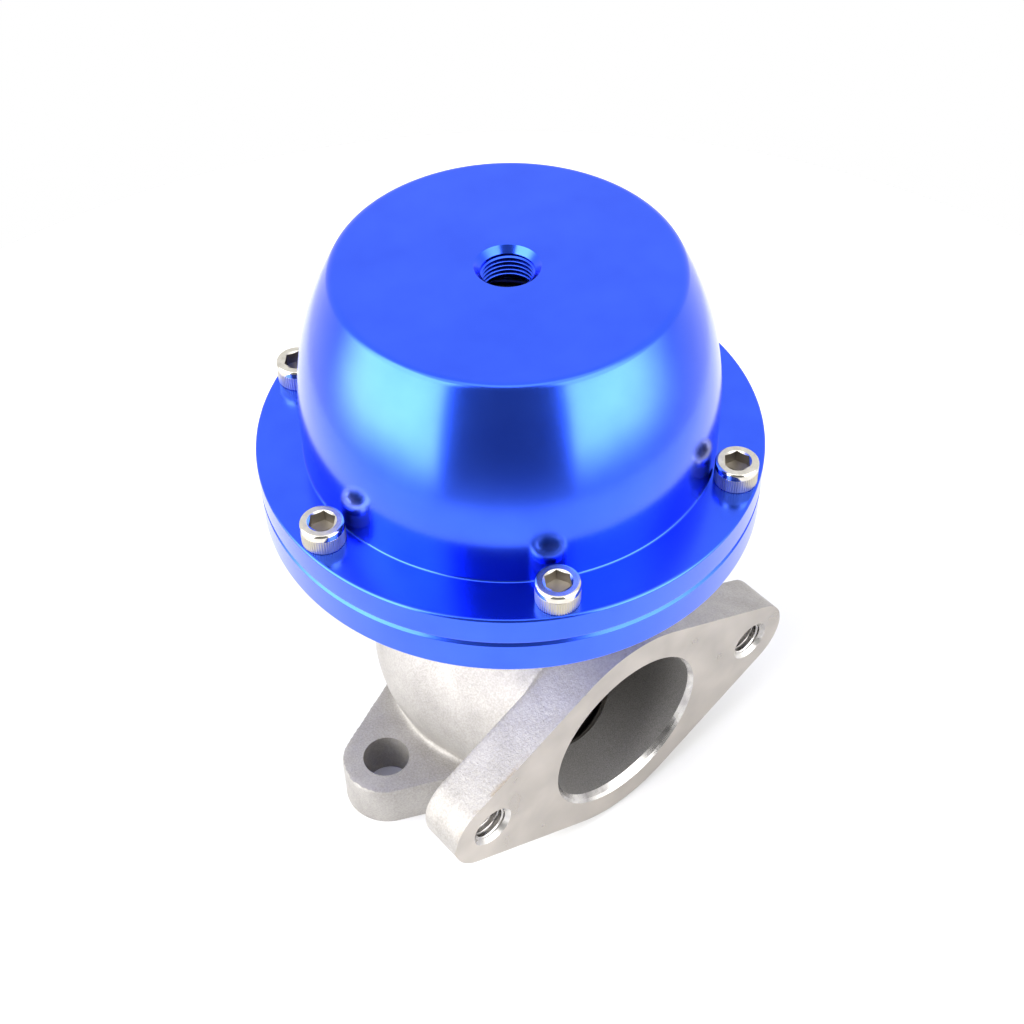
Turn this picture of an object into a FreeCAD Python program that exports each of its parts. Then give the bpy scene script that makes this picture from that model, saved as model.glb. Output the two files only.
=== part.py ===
import FreeCAD, Part
import math
import os

# External two-bolt turbo wastegate. Millimetres. The origin is the centre of the inlet
# face, +Z runs up the valve stem and the outlet faces -Y.

os.makedirs("parts", exist_ok=True)

# Valve casting
outlet_height = 27.35
bulb_radius = 31.6
bulb_wall = 4.6
neck_diameter = 36.0
neck_rise = 8.05
neck_flange_diameter = 58.0
neck_flange_thickness = 8.0
guide_boss_wall = 4.0
guide_boss_drop = 9.0
cast_fillet = 2.2
cast_edge_round = 1.0

# Inlet flange
inlet_flange_thickness = 11.3
inlet_flange_wall = 3.5
inlet_ear_radius = 9.85
inlet_bolt_spacing = 75.5
inlet_bolt_hole = 10.4

# Outlet flange and its pipe
outlet_reach = 38.1
outlet_bore = 38.0
outlet_pipe_wall = 5.0
outlet_flange_thickness = 11.0
outlet_flange_land = 2.5
outlet_ear_radius = 9.7
outlet_bolt_spacing = 75.5
outlet_thread = 8.0
thread_lead_in = 0.5
bore_chamfer = 0.84

# Seat ring and valve
valve_diameter = 38.0
seat_face_width = 1.4
seat_lip_width = 1.6
seat_ring_step = 1.4
seat_ring_body_height = 5.0
seat_ring_height = 8.0
seat_pocket_chamfer = 1.2
valve_rim_height = 1.4
valve_back_land = 2.0
valve_back_rise = 0.5
stem_diameter = 8.0
stem_thread = 6.0
stem_thread_end = 1.5
guide_diameter = 14.0
guide_reach = 3.0

# Neck gasket and the screws that hold the actuator to the neck
gasket_thickness = 1.0
gasket_bore_gap = 2.0
base_screw_edge = 5.8
base_screw_count = 4
base_screw_length = 14.0
base_screw_head = 10.0
base_screw_key = 3.0

# Actuator base
base_height = 15.9
base_rim_thickness = 7.5
base_floor_thickness = 7.0
base_foot_margin = 1.0
base_pan_wall = 3.0
base_edge_chamfer = 0.8
chamber_corner_round = 1.5
seal_diameter = 16.0
seal_height = 2.8
seal_retainer_height = 1.7
port_thread = 10.2
port_below_seam = 7.3
port_boss_diameter = 16.0
port_spot_depth = 0.8
port_end_wall = 3.5
port_passage = 3.0

# Diaphragm and what it is clamped between
diaphragm_thickness = 1.2
diaphragm_screw_gap = 0.4
diaphragm_roll_width = 9.0
diaphragm_roll_radius = 2.4
plate_inset = 1.5
plate_thickness = 1.5
plate_clearance = 1.0
piston_floor = 2.5
piston_lip_height = 5.0
piston_lip_width = 1.4
piston_hub_diameter = 17.0
piston_hub_height = 1.5
spring_ridge_height = 1.8
washer_diameter = 13.0
washer_thickness = 1.3
nut_across_flats = 10.0
nut_height = 6.0
nut_collar_height = 1.6

# Springs
outer_spring_wire = 3.4
outer_spring_turns = 5.5
inner_spring_diameter = 33.0
inner_spring_wire = 2.8
inner_spring_turns = 6.5

# Actuator cap
cap_height = 47.1
cap_flange_thickness = 6.5
cap_flange_chamfer = 0.45
dome_diameter = 83.0
dome_skirt = 8.6
dome_radius = 64.0
dome_top_round = 1.9
cap_wall = 3.0
cap_roof_thickness = 7.0
top_port_chamfer = 1.2

# Cap screws
actuator_turn = 0.65
cap_screw_wall_gap = 0.6
cap_screw_edge_gap = 0.4
cap_screw_count = 6
cap_screw_length = 12.0
screw_thread = 5.0
screw_head = 8.5
screw_head_height = 4.9
screw_head_round = 0.5
screw_key = 4.0
screw_key_depth = 2.6

# Clearances
stem_clearance = 0.04
press_clearance = 0.01
thread_clearance = 0.05
screw_hole_clearance = 0.25
seat_clearance = 0.12
diaphragm_edge_clearance = 0.1
spring_side_clearance = 0.35

# Heights of the stack, counted up from the inlet face
neck_face = outlet_height + bulb_radius + neck_rise
base_bottom = neck_face + gasket_thickness
chamber_floor = base_bottom + base_floor_thickness
seam = base_bottom + base_height
rim_bottom = seam - base_rim_thickness
clamp_shelf = seam - diaphragm_thickness
cap_flange_top = seam + cap_flange_thickness
cap_top = seam + cap_height
cap_roof = cap_top - cap_roof_thickness
stem_shoulder = chamber_floor + plate_clearance
diaphragm_bottom = stem_shoulder + plate_thickness
piston_bottom = diaphragm_bottom + diaphragm_thickness
piston_top = piston_bottom + piston_floor
hub_top = piston_top + piston_hub_height
nut_bottom = hub_top + washer_thickness
stem_top = nut_bottom + nut_height + stem_thread_end

# Radii that more than one piece takes
bulb_cavity = bulb_radius - bulb_wall
outlet_radius = outlet_bore / 2
pipe_radius = outlet_radius + outlet_pipe_wall
outlet_flange_radius = pipe_radius + outlet_flange_land
valve_radius = valve_diameter / 2
throat_radius = valve_radius - seat_face_width
seat_lip_radius = valve_radius + seat_lip_width
seat_ring_radius = seat_lip_radius + seat_ring_step
inlet_flange_radius = seat_ring_radius + inlet_flange_wall
guide_radius = guide_diameter / 2
neck_flange_radius = neck_flange_diameter / 2
base_screw_circle_radius = neck_flange_radius - base_screw_edge
stem_radius = stem_diameter / 2
stem_thread_radius = stem_thread / 2 - thread_clearance
screw_thread_radius = screw_thread / 2
screw_hole_radius = screw_thread_radius + screw_hole_clearance
screw_head_radius = screw_head / 2
dome_wall_radius = dome_diameter / 2
cap_screw_circle_radius = dome_wall_radius + cap_screw_wall_gap + screw_head_radius
rim_radius = cap_screw_circle_radius + screw_head_radius + cap_screw_edge_gap
chamber_radius = dome_wall_radius - cap_wall
diaphragm_radius = cap_screw_circle_radius - screw_hole_radius - diaphragm_screw_gap
piston_radius = chamber_radius - diaphragm_roll_width
plate_radius = piston_radius - plate_inset
spring_cup_radius = piston_radius - piston_lip_width
outer_spring_radius = spring_cup_radius - spring_side_clearance - outer_spring_wire / 2
inner_spring_radius = inner_spring_diameter / 2
inner_ridge_inside = inner_spring_radius + inner_spring_wire / 2 + spring_side_clearance
inner_ridge_outside = outer_spring_radius - outer_spring_wire / 2 - spring_side_clearance

UP = FreeCAD.Vector(0, 0, 1)
TINY = 1e-4


def at(x, y, z):
    return FreeCAD.Vector(x, y, z)


def turned(start, *steps):
    # Solid of revolution about Z. A step is the (r, z) end of a straight edge, or a pair
    # of such points, the middle and the end of an arc.
    edges = []
    here = at(start[0], 0, start[1])
    for step in steps + (start,):
        if isinstance(step[0], tuple):
            middle = at(step[0][0], 0, step[0][1])
            there = at(step[1][0], 0, step[1][1])
            edges.append(Part.Arc(here, middle, there).toShape())
        else:
            there = at(step[0], 0, step[1])
            if there.distanceToPoint(here) < TINY:
                continue
            edges.append(Part.LineSegment(here, there).toShape())
        here = there
    return Part.Face(Part.Wire(edges)).revolve(at(0, 0, 0), UP, 360)


def rod(radius, low, high, x=0.0, y=0.0):
    return Part.makeCylinder(radius, high - low, at(x, y, low))


def towards_outlet(shape):
    # Local +Z becomes -Y, and the local origin goes to the bulb's centre.
    shape = shape.copy()
    shape.rotate(at(0, 0, 0), at(1, 0, 0), 90)
    shape.translate(at(0, 0, outlet_height))
    return shape


def ring_edges(shape, radius, axis):
    # Whole circles of one radius about one direction.
    found = []
    for edge in shape.Edges:
        if edge.Degenerated or not isinstance(edge.Curve, Part.Circle):
            continue
        same_radius = abs(edge.Curve.Radius - radius) < TINY
        if same_radius and abs(abs(edge.Curve.Axis.dot(axis)) - 1) < TINY:
            found.append(edge)
    return found


def ring_places(count, radius, turn):
    for index in range(count):
        angle = math.radians(turn + 360 * index / count)
        yield radius * math.cos(angle), radius * math.sin(angle)


def hexagon(across_flats, low, high):
    # The flats face +X and -X.
    corner = across_flats / math.sqrt(3)
    points = []
    for index in range(7):
        angle = math.radians(30 + 60 * index)
        points.append(at(corner * math.cos(angle), corner * math.sin(angle), low))
    return Part.Face(Part.makePolygon(points)).extrude(at(0, 0, high - low))


def two_bolt_plate(middle_radius, ear_radius, spacing, thickness):
    # A round middle and two round ears along X, joined by straight tangent sides.
    reach = spacing / 2
    lean = math.acos((middle_radius - ear_radius) / reach)
    side = math.cos(lean)
    rise = math.sin(lean)
    corners = []
    for across, up in ((1, 1), (-1, 1), (-1, -1), (1, -1)):
        middle = at(across * middle_radius * side, up * middle_radius * rise, 0)
        ear = at(across * (reach + ear_radius * side), up * ear_radius * rise, 0)
        corners.append((middle, ear))
    edges = [
        Part.Arc(corners[0][0], at(0, middle_radius, 0), corners[1][0]),
        Part.LineSegment(corners[1][0], corners[1][1]),
        Part.Arc(corners[1][1], at(-reach - ear_radius, 0, 0), corners[2][1]),
        Part.LineSegment(corners[2][1], corners[2][0]),
        Part.Arc(corners[2][0], at(0, -middle_radius, 0), corners[3][0]),
        Part.LineSegment(corners[3][0], corners[3][1]),
        Part.Arc(corners[3][1], at(reach + ear_radius, 0, 0), corners[0][1]),
        Part.LineSegment(corners[0][1], corners[0][0]),
    ]
    outline = Part.Wire([edge.toShape() for edge in edges])
    return Part.Face(outline).extrude(at(0, 0, thickness))


def edges_at_height(shape, height):
    found = []
    for edge in shape.Edges:
        box = edge.BoundBox
        if abs(box.ZMin - height) < TINY and abs(box.ZMax - height) < TINY:
            found.append(edge)
    return found


def swing(centre, radius, start, end):
    # Middle and end of an arc about a centre, between two angles, as a step of turned.
    points = []
    for angle in ((start + end) / 2, end):
        points.append((centre[0] + radius * math.cos(angle), centre[1] + radius * math.sin(angle)))
    return tuple(points)


def root_flare():
    # The cast fillet between the bulb and the top of the inlet flange, kept to the flat
    # part of the ears.
    centre_z = inlet_flange_thickness + cast_fillet
    reach = bulb_radius + cast_fillet
    drop = centre_z - outlet_height
    centre_r = math.sqrt(reach ** 2 - drop ** 2)
    touch_r = centre_r * bulb_radius / reach
    touch_z = outlet_height + drop * bulb_radius / reach
    end_angle = math.atan2(touch_z - centre_z, touch_r - centre_r)
    if end_angle > 0:
        end_angle -= 2 * math.pi
    inside = touch_r - bulb_wall / 2
    below = inlet_flange_thickness - cast_edge_round
    flare = turned(
        (inside, below),
        (centre_r, below),
        (centre_r, inlet_flange_thickness),
        swing((centre_r, centre_z), cast_fillet, -math.pi / 2, end_angle),
        (inside, touch_z),
    )
    flat_part = two_bolt_plate(
        inlet_flange_radius - cast_edge_round,
        inlet_ear_radius - cast_edge_round,
        inlet_bolt_spacing,
        touch_z,
    )
    return flare.common(flat_part)


def flared_stub(radius, end, land):
    # A round stub that leaves the bulb along local Z, with a cast fillet at the bulb and
    # another under the flange at its end. The bulb's centre is the local origin.
    shown = end - math.sqrt(bulb_radius ** 2 - radius ** 2)
    fillet = min(cast_fillet, 0.8 * land, 0.42 * shown)
    reach = bulb_radius + fillet
    centre_r = radius + fillet
    centre_z = math.sqrt(reach ** 2 - centre_r ** 2)
    touch_r = centre_r * bulb_radius / reach
    touch_z = centre_z * bulb_radius / reach
    touch_angle = math.atan2(touch_z - centre_z, touch_r - centre_r)
    return turned(
        (0, 0),
        (touch_r - bulb_wall / 2, 0),
        (touch_r - bulb_wall / 2, touch_z),
        (touch_r, touch_z),
        swing((centre_r, centre_z), fillet, touch_angle, -math.pi),
        (radius, end - fillet),
        swing((centre_r, end - fillet), fillet, math.pi, math.pi / 2),
        (0, end),
    )


def casting_outside():
    below = Part.makeBox(4 * bulb_radius, 4 * bulb_radius, bulb_radius)
    below.translate(at(-2 * bulb_radius, -2 * bulb_radius, -bulb_radius))
    ball = Part.makeSphere(bulb_radius, at(0, 0, outlet_height)).cut(below)
    foot = two_bolt_plate(
        inlet_flange_radius, inlet_ear_radius, inlet_bolt_spacing, inlet_flange_thickness
    )
    foot = foot.makeFillet(cast_edge_round, edges_at_height(foot, inlet_flange_thickness))

    neck_radius = neck_diameter / 2
    collar_bottom = neck_face - neck_flange_thickness
    collar = rod(neck_flange_radius, collar_bottom, neck_face)
    collar = collar.makeChamfer(cast_edge_round / 2, ring_edges(collar, neck_flange_radius, UP))
    neck_land = neck_flange_radius - neck_radius - cast_edge_round
    neck = flared_stub(neck_radius, collar_bottom - outlet_height, neck_land)
    neck.translate(at(0, 0, outlet_height))

    plate = two_bolt_plate(
        outlet_flange_radius, outlet_ear_radius, outlet_bolt_spacing, outlet_flange_thickness
    )
    plate = plate.makeFillet(cast_edge_round, edges_at_height(plate, 0))
    plate.translate(at(0, 0, outlet_reach - outlet_flange_thickness))
    pipe_land = outlet_flange_radius - pipe_radius - cast_edge_round
    pipe = flared_stub(pipe_radius, outlet_reach - outlet_flange_thickness, pipe_land)

    body = ball.fuse([root_flare(), foot]).removeSplitter()
    body = body.fuse([neck, collar, towards_outlet(pipe), towards_outlet(plate)]).removeSplitter()
    return body.cut(below)


def gas_way():
    # Everything the exhaust gas passes through: the round chamber with the guide's boss
    # left standing in its roof, the outlet bore and the pocket of the seat ring.
    chamber = Part.makeSphere(bulb_cavity, at(0, 0, outlet_height))
    boss_bottom = outlet_height + bulb_cavity - guide_boss_drop
    boss_radius = guide_radius + guide_boss_wall
    boss = turned(
        (0, boss_bottom),
        (boss_radius - cast_edge_round, boss_bottom),
        (boss_radius, boss_bottom + cast_edge_round),
        (boss_radius + cast_fillet, neck_face),
        (0, neck_face),
    )
    chamber = chamber.cut(boss)
    bore_start = math.sqrt(bulb_cavity ** 2 - outlet_radius ** 2) - cast_edge_round
    bore = towards_outlet(rod(outlet_radius, bore_start, outlet_reach))
    mouth = towards_outlet(Part.makeCone(
        outlet_radius, outlet_radius + bore_chamfer, bore_chamfer, at(0, 0, outlet_reach - bore_chamfer)
    ))
    pocket = rod(seat_ring_radius, 0, outlet_height)
    bore_bottom = outlet_height - outlet_radius
    lead_in = Part.makeCone(
        seat_ring_radius,
        seat_ring_radius + 3 * seat_pocket_chamfer,
        3 * seat_pocket_chamfer,
        at(0, 0, bore_bottom - seat_pocket_chamfer),
    )
    near_bore = towards_outlet(rod(outlet_radius + seat_pocket_chamfer, 0, outlet_reach))
    return chamber.fuse([bore, mouth, pocket, lead_in.common(near_bore)])


def tapped_hole(radius, depth, lead_in):
    # Opens at local z = 0 and runs down, with its lead-in chamfer at the mouth.
    hole = rod(radius, -depth, 0)
    mouth = Part.makeCone(radius, radius + lead_in, lead_in, at(0, 0, -lead_in))
    return hole.fuse(mouth)


def make_valve_body():
    body = casting_outside().cut(gas_way())
    cuts = [rod(guide_radius, outlet_height, neck_face)]
    for side in (-1, 1):
        x = side * inlet_bolt_spacing / 2
        cuts.append(rod(inlet_bolt_hole / 2, 0, inlet_flange_thickness, x=x))
        hole = tapped_hole(outlet_thread / 2, outlet_flange_thickness, thread_lead_in)
        hole.translate(at(side * outlet_bolt_spacing / 2, 0, outlet_reach))
        cuts.append(towards_outlet(hole))
    for x, y in ring_places(base_screw_count, base_screw_circle_radius, 45):
        cuts.append(rod(screw_thread_radius, neck_face - neck_flange_thickness, neck_face, x, y))
    return body.cut(cuts)


def make_seat_ring():
    outside = seat_ring_radius - press_clearance
    throat = throat_radius
    lip = seat_lip_radius
    cone = (lip - throat) / 2
    edge = cone / 3
    return turned(
        (throat + edge, 0),
        (outside, 0),
        (outside, seat_ring_body_height),
        (lip, seat_ring_body_height),
        (lip, seat_ring_height),
        (throat + cone, seat_ring_height),
        (throat, seat_ring_height - cone),
        (throat, edge),
    )


def valve_heights():
    # Heights of the valve's underside, the start of its rim and the top of its rim, when
    # its 45 degree face stands off the seat by the seat clearance.
    throat = throat_radius
    cone = (seat_lip_radius - throat) / 2
    offset = seat_ring_height - cone - throat + seat_clearance * math.sqrt(2)
    underside = throat + seat_clearance + offset
    rim_start = valve_radius + offset
    return underside, rim_start, rim_start + valve_rim_height


def make_poppet_valve():
    underside, rim_start, rim_top = valve_heights()
    rim = valve_radius
    back = rim - valve_back_land
    tulip = back - stem_radius
    tulip_bottom = rim_top + valve_back_rise
    tulip_middle = (
        back - tulip * math.sin(math.pi / 4),
        tulip_bottom + tulip - tulip * math.cos(math.pi / 4),
    )
    end_chamfer = stem_thread_radius / 4
    return turned(
        (0, underside),
        (throat_radius + seat_clearance, underside),
        (rim, rim_start),
        (rim, rim_top),
        (back, tulip_bottom),
        (tulip_middle, (stem_radius, tulip_bottom + tulip)),
        (stem_radius, stem_shoulder),
        (stem_thread_radius, stem_shoulder),
        (stem_thread_radius, stem_top - end_chamfer),
        (stem_thread_radius - end_chamfer, stem_top),
        (0, stem_top),
    )


def make_valve_guide():
    outside = guide_radius - press_clearance
    inside = stem_radius + stem_clearance
    bottom = outlet_height + bulb_cavity - guide_boss_drop - guide_reach
    nose = (outside - inside) / 2
    return turned(
        (inside, bottom),
        (outside - nose, bottom),
        (outside, bottom + nose),
        (outside, neck_face),
        (inside, neck_face),
    )


def make_neck_gasket():
    ring = rod(neck_flange_radius, neck_face, base_bottom)
    cuts = [rod(guide_radius + gasket_bore_gap, neck_face, base_bottom)]
    for x, y in ring_places(base_screw_count, base_screw_circle_radius, 45):
        cuts.append(rod(screw_hole_radius, neck_face, base_bottom, x, y))
    return ring.cut(cuts)


def boost_port():
    # The tapped side port at the back: its boss, and what is cut out of it.
    height = seam - port_below_seam
    outer = rim_radius - port_spot_depth
    depth = outer - chamber_radius - port_end_wall

    def outward(shape):
        shape.rotate(at(0, 0, 0), at(1, 0, 0), -90)
        shape.translate(at(0, 0, height))
        return shape

    boss = outward(rod(port_boss_diameter / 2, chamber_radius, rim_radius))
    envelope = rod(rim_radius, base_bottom, seam)
    hole = tapped_hole(port_thread / 2, depth, thread_lead_in)
    hole.translate(at(0, 0, outer))
    passage = rod(port_passage / 2, 0, outer)
    spot = rod(port_boss_diameter / 2, outer, rim_radius + port_spot_depth)
    return boss.common(envelope), outward(Part.makeCompound([hole, passage, spot]))


def make_actuator_base():
    pan_radius = chamber_radius + base_pan_wall
    pan_bottom = chamber_floor - base_pan_wall / 2
    foot_radius = neck_flange_radius + base_foot_margin
    seal_pocket = seal_diameter / 2
    seal_bottom = chamber_floor - seal_height - seal_retainer_height
    shelf_edge = diaphragm_radius + diaphragm_edge_clearance
    stem_hole = stem_radius + screw_hole_clearance
    round_off = chamber_corner_round * (1 - math.sin(math.pi / 4))
    corner = (
        (chamber_radius - round_off, chamber_floor + round_off),
        (chamber_radius - chamber_corner_round, chamber_floor),
    )
    base = turned(
        (stem_hole, base_bottom),
        (foot_radius, base_bottom),
        (pan_radius, pan_bottom),
        (pan_radius, rim_bottom),
        (rim_radius - cap_flange_chamfer, rim_bottom),
        (rim_radius, rim_bottom + cap_flange_chamfer),
        (rim_radius, seam - base_edge_chamfer),
        (rim_radius - base_edge_chamfer, seam),
        (shelf_edge, seam),
        (shelf_edge, clamp_shelf),
        (chamber_radius, clamp_shelf),
        (chamber_radius, chamber_floor + chamber_corner_round),
        corner,
        (seal_pocket, chamber_floor),
        (seal_pocket, seal_bottom),
        (stem_hole, seal_bottom),
    )
    boss, port_cut = boost_port()
    cuts = list(port_cut.Solids)
    cuts.append(rod(shelf_edge, clamp_shelf, seam))
    for x, y in ring_places(cap_screw_count, cap_screw_circle_radius, actuator_turn):
        cuts.append(rod(screw_thread_radius, rim_bottom, seam, x, y))
    sink_radius = base_screw_head / 2 + thread_clearance
    for x, y in ring_places(base_screw_count, base_screw_circle_radius, 45):
        cuts.append(rod(screw_hole_radius, base_bottom, chamber_floor, x, y))
        cuts.append(Part.makeCone(0, sink_radius, sink_radius, at(x, y, chamber_floor - sink_radius)))
    return base.fuse(boss).cut(cuts)


def make_stem_seal():
    bottom = chamber_floor - seal_height - seal_retainer_height
    top = chamber_floor - seal_retainer_height
    outside = seal_diameter / 2 - press_clearance
    inside = stem_radius + stem_clearance
    groove = (outside - inside) / 4
    return turned(
        (inside, bottom),
        (outside, bottom),
        (outside, top),
        (outside - groove, top),
        (outside - 2 * groove, top - groove),
        (inside + groove, top),
        (inside, top),
    )


def make_seal_retainer():
    bottom = chamber_floor - seal_retainer_height
    return turned(
        (stem_radius + screw_hole_clearance, bottom),
        (seal_diameter / 2 - press_clearance, bottom),
        (seal_diameter / 2 - press_clearance, chamber_floor),
        (stem_radius + screw_hole_clearance, chamber_floor),
    )


def roll(centre, radius, angle):
    # Middle and end of an arc that starts straight below its centre and turns upwards by
    # an angle. A negative radius starts it straight above and turns it downwards.
    half = angle / 2
    middle = (centre[0] + radius * math.sin(half), centre[1] - radius * math.cos(half))
    end = (centre[0] + radius * math.sin(angle), centre[1] - radius * math.cos(angle))
    return middle, end


def make_diaphragm():
    # Flat under the piston, then a roll up and a roll back to the clamped rim. Between
    # the rolls runs a straight stretch, tangent to both.
    hole = stem_thread / 2
    inner = piston_radius + diaphragm_thickness / 4
    run = chamber_radius - inner
    rise = clamp_shelf - diaphragm_bottom
    tight = min(diaphragm_roll_radius, run / 2.5, rise / 2.5)
    wide = tight + diaphragm_thickness
    rest = rise - tight - wide
    angle = math.asin((tight + wide) / math.hypot(run, rest)) + math.atan2(rest, run)
    low_centre = (inner, diaphragm_bottom + wide)
    high_centre = (chamber_radius, clamp_shelf - tight)
    under_high = roll(high_centre, -tight, angle)
    over_high = roll(high_centre, -wide, angle)
    over_low = roll(low_centre, tight, angle)
    return turned(
        (hole, diaphragm_bottom),
        (inner, diaphragm_bottom),
        roll(low_centre, wide, angle),
        under_high[1],
        (under_high[0], (chamber_radius, clamp_shelf)),
        (diaphragm_radius, clamp_shelf),
        (diaphragm_radius, seam),
        (chamber_radius, seam),
        over_high,
        over_low[1],
        (over_low[0], (inner, piston_bottom)),
        (hole, piston_bottom),
    )


def make_diaphragm_plate():
    edge = plate_thickness / 2
    radius = plate_radius
    return turned(
        (stem_thread / 2, stem_shoulder),
        (radius - edge, stem_shoulder),
        ((radius, stem_shoulder + edge), (radius - edge, diaphragm_bottom)),
        (stem_thread / 2, diaphragm_bottom),
    )


def make_spring_piston():
    radius = piston_radius
    edge = piston_floor / 2
    bend = edge * (1 - math.sin(math.pi / 4))
    lip_top = piston_top + piston_lip_height
    ridge_top = piston_top + spring_ridge_height
    hub = piston_hub_diameter / 2
    return turned(
        (stem_thread / 2, piston_bottom),
        (radius - edge, piston_bottom),
        ((radius - bend, piston_bottom + bend), (radius, piston_bottom + edge)),
        (radius, lip_top),
        (spring_cup_radius, lip_top),
        (spring_cup_radius, piston_top),
        (inner_ridge_outside, piston_top),
        (inner_ridge_outside, ridge_top),
        (inner_ridge_inside, ridge_top),
        (inner_ridge_inside, piston_top),
        (hub, piston_top),
        (hub, hub_top),
        (stem_thread / 2, hub_top),
    )


def make_stem_washer():
    washer = rod(washer_diameter / 2, hub_top, nut_bottom)
    return washer.cut(rod(stem_thread / 2, hub_top, nut_bottom))


def make_stem_nut():
    body_top = nut_bottom + nut_height - nut_collar_height
    flats = nut_across_flats / 2
    corner = nut_across_flats / math.sqrt(3)
    blank = turned(
        (0, nut_bottom),
        (flats, nut_bottom),
        (corner, nut_bottom + (corner - flats) / 2),
        (corner, body_top - (corner - flats) / 2),
        (flats, body_top),
        (flats - nut_collar_height / 4, body_top),
        (flats - nut_collar_height / 4, nut_bottom + nut_height),
        (0, nut_bottom + nut_height),
    )
    nut = blank.common(hexagon(nut_across_flats, nut_bottom, nut_bottom + nut_height))
    return nut.cut(rod(stem_thread / 2, nut_bottom, nut_bottom + nut_height))


def coil_spring(radius, wire, turns, left_handed):
    # A helix from the piston to the roof of the cap. The wire runs past both seats by a
    # quarter of its size and is ground flat there.
    length = cap_roof - piston_top
    tail = wire / 4
    start = piston_top - tail
    path = Part.makeHelix(length / turns, length + 2 * tail, radius, 0, left_handed)
    path.translate(at(0, 0, start))
    section = Part.Wire(Part.makeCircle(wire / 2, at(radius, 0, start), at(0, 1, 0)))
    coil = Part.Wire(path.Edges).makePipeShell([section], True, True)
    slab = Part.makeBox(4 * radius, 4 * radius, length, at(-2 * radius, -2 * radius, piston_top))
    return coil.common(slab)


def dome_radius_at(height, offset):
    # Radius of the dome's side at a height, moved inwards by an offset.
    centre = dome_wall_radius - dome_radius
    rise = height - cap_flange_top - dome_skirt
    return centre + math.sqrt((dome_radius - offset) ** 2 - rise ** 2)


def make_actuator_cap():
    dome = dome_wall_radius
    skirt_top = cap_flange_top + dome_skirt
    half_way = (skirt_top + cap_top) / 2
    cavity_half_way = (skirt_top + cap_roof) / 2
    cavity = chamber_radius
    port = port_thread / 2
    outside = turned(
        (0, seam),
        (rim_radius - cap_flange_chamfer, seam),
        (rim_radius, seam + cap_flange_chamfer),
        (rim_radius, cap_flange_top - cap_flange_chamfer),
        (rim_radius - cap_flange_chamfer, cap_flange_top),
        (dome, cap_flange_top),
        (dome, skirt_top),
        ((dome_radius_at(half_way, 0), half_way), (dome_radius_at(cap_top, 0), cap_top)),
        (0, cap_top),
    )
    outside = outside.makeFillet(dome_top_round, ring_edges(outside, dome_radius_at(cap_top, 0), UP))
    roof_corner = (dome_radius_at(cap_roof, cap_wall), cap_roof)
    ridge_bottom = cap_roof - spring_ridge_height
    inside = turned(
        (0, seam),
        (cavity, seam),
        (cavity, skirt_top),
        ((dome_radius_at(cavity_half_way, cap_wall), cavity_half_way), roof_corner),
        (inner_ridge_outside, cap_roof),
        (inner_ridge_outside, ridge_bottom),
        (inner_ridge_inside, ridge_bottom),
        (inner_ridge_inside, cap_roof),
        (0, cap_roof),
    )
    inside = inside.makeFillet(cap_wall / 2, ring_edges(inside, roof_corner[0], UP))
    port_mouth = at(0, 0, cap_top - top_port_chamfer)
    cuts = [rod(port, cap_roof, cap_top)]
    cuts.append(Part.makeCone(port, port + top_port_chamfer, top_port_chamfer, port_mouth))
    for x, y in ring_places(cap_screw_count, cap_screw_circle_radius, actuator_turn):
        cuts.append(rod(screw_hole_radius, seam, cap_flange_top, x, y))
    return outside.cut([inside] + cuts)


def make_cap_screw(x, y):
    # Socket head cap screw: a rounded drum with a hexagon socket over a plain shank.
    head = screw_head_radius
    shank = screw_thread_radius - thread_clearance
    bend = screw_head_round * (1 - math.sin(math.pi / 4))
    top = screw_head_height
    tip = shank / 4
    screw = turned(
        (0, -cap_screw_length),
        (shank - tip, -cap_screw_length),
        (shank, tip - cap_screw_length),
        (shank, 0),
        (head, 0),
        (head, top - screw_head_round),
        ((head - bend, top - bend), (head - screw_head_round, top)),
        (0, top),
    )
    socket_floor = top - screw_key_depth
    socket_corner = screw_key / math.sqrt(3)
    socket = hexagon(screw_key, socket_floor, top)
    point = Part.makeCone(0, screw_key / 2, screw_key / 4, at(0, 0, socket_floor - screw_key / 4))
    lead = Part.makeCone(screw_key / 2, socket_corner, socket_corner - screw_key / 2,
                         at(0, 0, top - socket_corner + screw_key / 2))
    screw = screw.cut([socket, point, lead])
    screw.translate(at(x, y, cap_flange_top))
    return screw


def make_base_screw(x, y):
    # Countersunk screw with its flat top level with the chamber floor.
    head = base_screw_head / 2
    shank = screw_thread_radius - thread_clearance
    tip = shank / 4
    screw = turned(
        (0, -base_screw_length),
        (shank - tip, -base_screw_length),
        (shank, tip - base_screw_length),
        (shank, shank - head),
        (head, 0),
        (0, 0),
    )
    screw = screw.cut(hexagon(base_screw_key, -base_screw_key / 2, 0))
    screw.translate(at(x, y, chamber_floor))
    return screw


pieces = {
    "valve_body": make_valve_body(),
    "valve_seat_ring": make_seat_ring(),
    "valve_guide": make_valve_guide(),
    "neck_gasket": make_neck_gasket(),
    "actuator_base": make_actuator_base(),
    "stem_seal": make_stem_seal(),
    "seal_retainer": make_seal_retainer(),
    "diaphragm": make_diaphragm(),
    "actuator_cap": make_actuator_cap(),
    "poppet_valve": make_poppet_valve(),
    "diaphragm_plate": make_diaphragm_plate(),
    "spring_piston": make_spring_piston(),
    "stem_washer": make_stem_washer(),
    "stem_nut": make_stem_nut(),
    "outer_spring": coil_spring(outer_spring_radius, outer_spring_wire, outer_spring_turns, False),
    "inner_spring": coil_spring(inner_spring_radius, inner_spring_wire, inner_spring_turns, True),
}
for number, place in enumerate(ring_places(base_screw_count, base_screw_circle_radius, 45), 1):
    pieces["base_screw_%d" % number] = make_base_screw(*place)
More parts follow.
